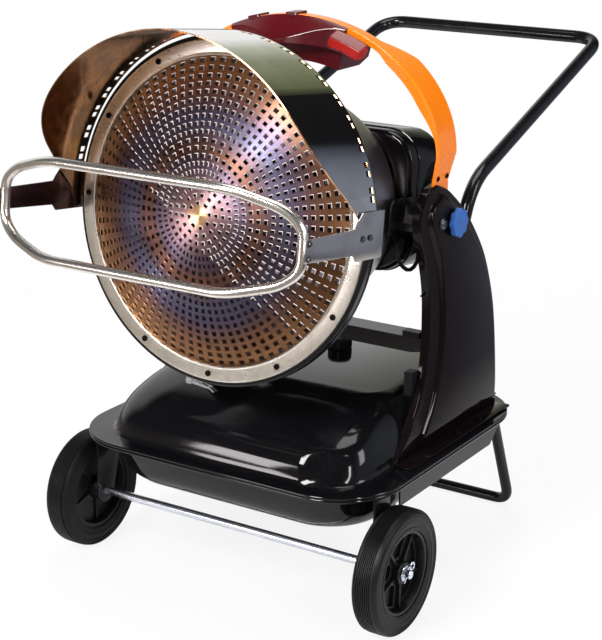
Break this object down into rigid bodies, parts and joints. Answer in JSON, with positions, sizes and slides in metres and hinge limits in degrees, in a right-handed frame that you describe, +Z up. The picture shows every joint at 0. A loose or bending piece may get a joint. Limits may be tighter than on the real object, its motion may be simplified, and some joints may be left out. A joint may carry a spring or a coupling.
{
  "type": "infrared diesel heater",
  "caption": "Wheeled infrared diesel heater: round tilting burner head with a perforated disc, visor and guard over a fuel tank, with side arms, arch, control box and push handle.",
  "frame": {"origin": "on the floor, under the middle of the overall box", "axes": "+X to the clamp knob's side, -Y the way the heat goes, +Z up"},
  "size_m": [0.692, 1.1852, 0.974],
  "materials": {
    "black_gloss": "gloss powder coat",
    "black_satin": "satin powder coat",
    "black_plastic": "satin",
    "tyre_rubber": "matte",
    "lead_rubber": "matte",
    "zinc": "zinc plated",
    "stainless": "bright",
    "mirror_steel": "bright annealed",
    "heat_tinted": "heat tinted",
    "dark_steel": "oxidised",
    "orange_paint": "gloss",
    "maroon_plastic": "gloss",
    "red_plastic": "gloss",
    "blue_plastic": "satin",
    "brass": "satin"
  },
  "bodies": {
    "stand": {"axle": "zinc", "axle_washer_right": "zinc", "axle_washer_left": "zinc", "split_pin_right": "zinc", "split_pin_left": "zinc", "axle_bracket_right": "black_satin", "axle_bracket_left": "black_satin", "side_rail_right": "black_satin", "side_rail_left": "black_satin", "tank_upper": "black_gloss", "tank_lower": "black_gloss", "filler_neck": "black_satin", "drain_plug": "zinc", "side_arm_right": "black_gloss", "side_arm_left": "black_gloss", "arm_side_block": "black_plastic", "arm_tie": "black_satin", "tie_clip": "black_plastic", "arch": "orange_paint", "console_hood": "maroon_plastic", "console_body": "maroon_plastic", "console_end_cap": "red_plastic", "push_handle": "black_satin", "rear_foot": "black_satin", "pivot_bolt_right": "zinc", "pivot_bolt_left": "zinc", "clamp_stud": "zinc"},
    "wheel_right": {"tyre_right": "tyre_rubber", "hub_right": "black_plastic"},
    "wheel_left": {"tyre_left": "tyre_rubber", "hub_left": "black_plastic"},
    "cap": {"fuel_cap": "black_plastic"},
    "switch": {"power_switch": "black_plastic"},
    "dial": {"thermostat_dial": "black_plastic"},
    "knob": {"tilt_knob": "blue_plastic"},
    "head": {"emission_disc": "heat_tinted", "front_ring": "stainless", "clamp_band": "black_satin", "latch_base": "zinc", "drum": "dark_steel", "combustion_chamber": "dark_steel", "burner_tube": "stainless", "fuel_nozzle": "brass", "visor": "mirror_steel", "guard_loop": "stainless", "guard_bracket_right": "stainless", "guard_bracket_left": "stainless", "burner_housing": "black_gloss", "inlet_grille": "black_plastic", "fan_motor": "zinc", "fuel_pump": "brass", "pivot_yoke_right": "black_satin", "pivot_yoke_left": "black_satin", "tilt_quadrant": "zinc", "head_lead": "lead_rubber"},
    "latch": {"latch_lever": "zinc"},
    "fan": {"fan_wheel": "dark_steel"}
  },
  "joints": [
    {"name": "head_tilt", "type": "hinge", "parent": "stand", "child": "head", "pos_m": [0, -0.10317, 0.632], "axis": [1, 0, 0], "range_deg": [-7, 6]},
    {"name": "wheel_right_spin", "type": "hinge", "parent": "stand", "child": "wheel_right", "pos_m": [0.316, -0.31917, 0.106], "axis": [1, 0, 0], "continuous": true},
    {"name": "wheel_left_spin", "type": "hinge", "parent": "stand", "child": "wheel_left", "pos_m": [-0.316, -0.31917, 0.106], "axis": [1, 0, 0], "continuous": true},
    {"name": "fuel_cap_turn", "type": "hinge", "parent": "stand", "child": "cap", "pos_m": [0.01, 0.00283, 0.35], "axis": [0, 0, 1], "range_deg": [0, 360]},
    {"name": "power_switch_rock", "type": "hinge", "parent": "stand", "child": "switch", "pos_m": [-0.052, -0.02976, 0.907], "axis": [1, 0, 0], "range_deg": [-24, 0]},
    {"name": "thermostat_turn", "type": "hinge", "parent": "stand", "child": "dial", "pos_m": [0.022, -0.02317, 0.907], "axis": [0, 1, 0], "range_deg": [-135, 135]},
    {"name": "tilt_knob_turn", "type": "hinge", "parent": "stand", "child": "knob", "pos_m": [0.278, -0.06346, 0.62713], "axis": [1, 0, 0], "range_deg": [0, 360]},
    {"name": "latch_swing", "type": "hinge", "parent": "head", "child": "latch", "pos_m": [-0.04158, -0.37966, 0.38226], "axis": [0, 0.9925, -0.1219], "range_deg": [0, 90]},
    {"name": "fan_spin", "type": "hinge", "parent": "head", "child": "fan", "pos_m": [0, 0.01838, 0.63723], "axis": [0, 0.9925, -0.1219], "continuous": true}
  ]
}
